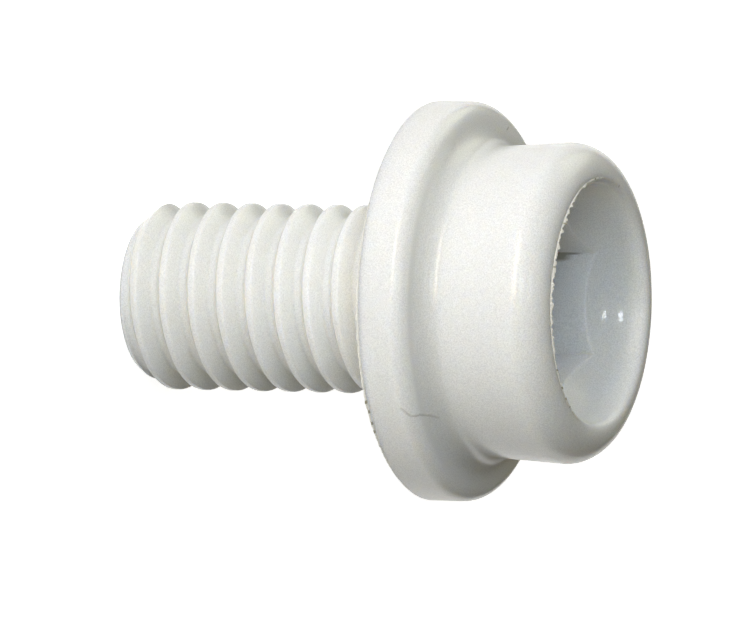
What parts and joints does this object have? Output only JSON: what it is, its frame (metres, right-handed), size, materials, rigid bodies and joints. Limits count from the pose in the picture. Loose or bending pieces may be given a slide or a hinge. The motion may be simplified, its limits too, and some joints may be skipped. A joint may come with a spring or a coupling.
{
  "type": "plastic machine screw",
  "caption": "Off-white plastic machine screw with a right-hand thread, a flange moulded under its round head and a dished hex socket.",
  "frame": {"origin": "centre of the flat tip, on which the screw stands", "axes": "+Z along the screw's axis, from the tip to the head; +Y square to a flat of the hex socket, within two degrees"},
  "size_m": [0.0126, 0.0126, 0.0156],
  "materials": {
    "plastic": "satin off-white moulded nylon"
  },
  "bodies": {
    "root": {"screw": "plastic"}
  },
  "joints": []
}
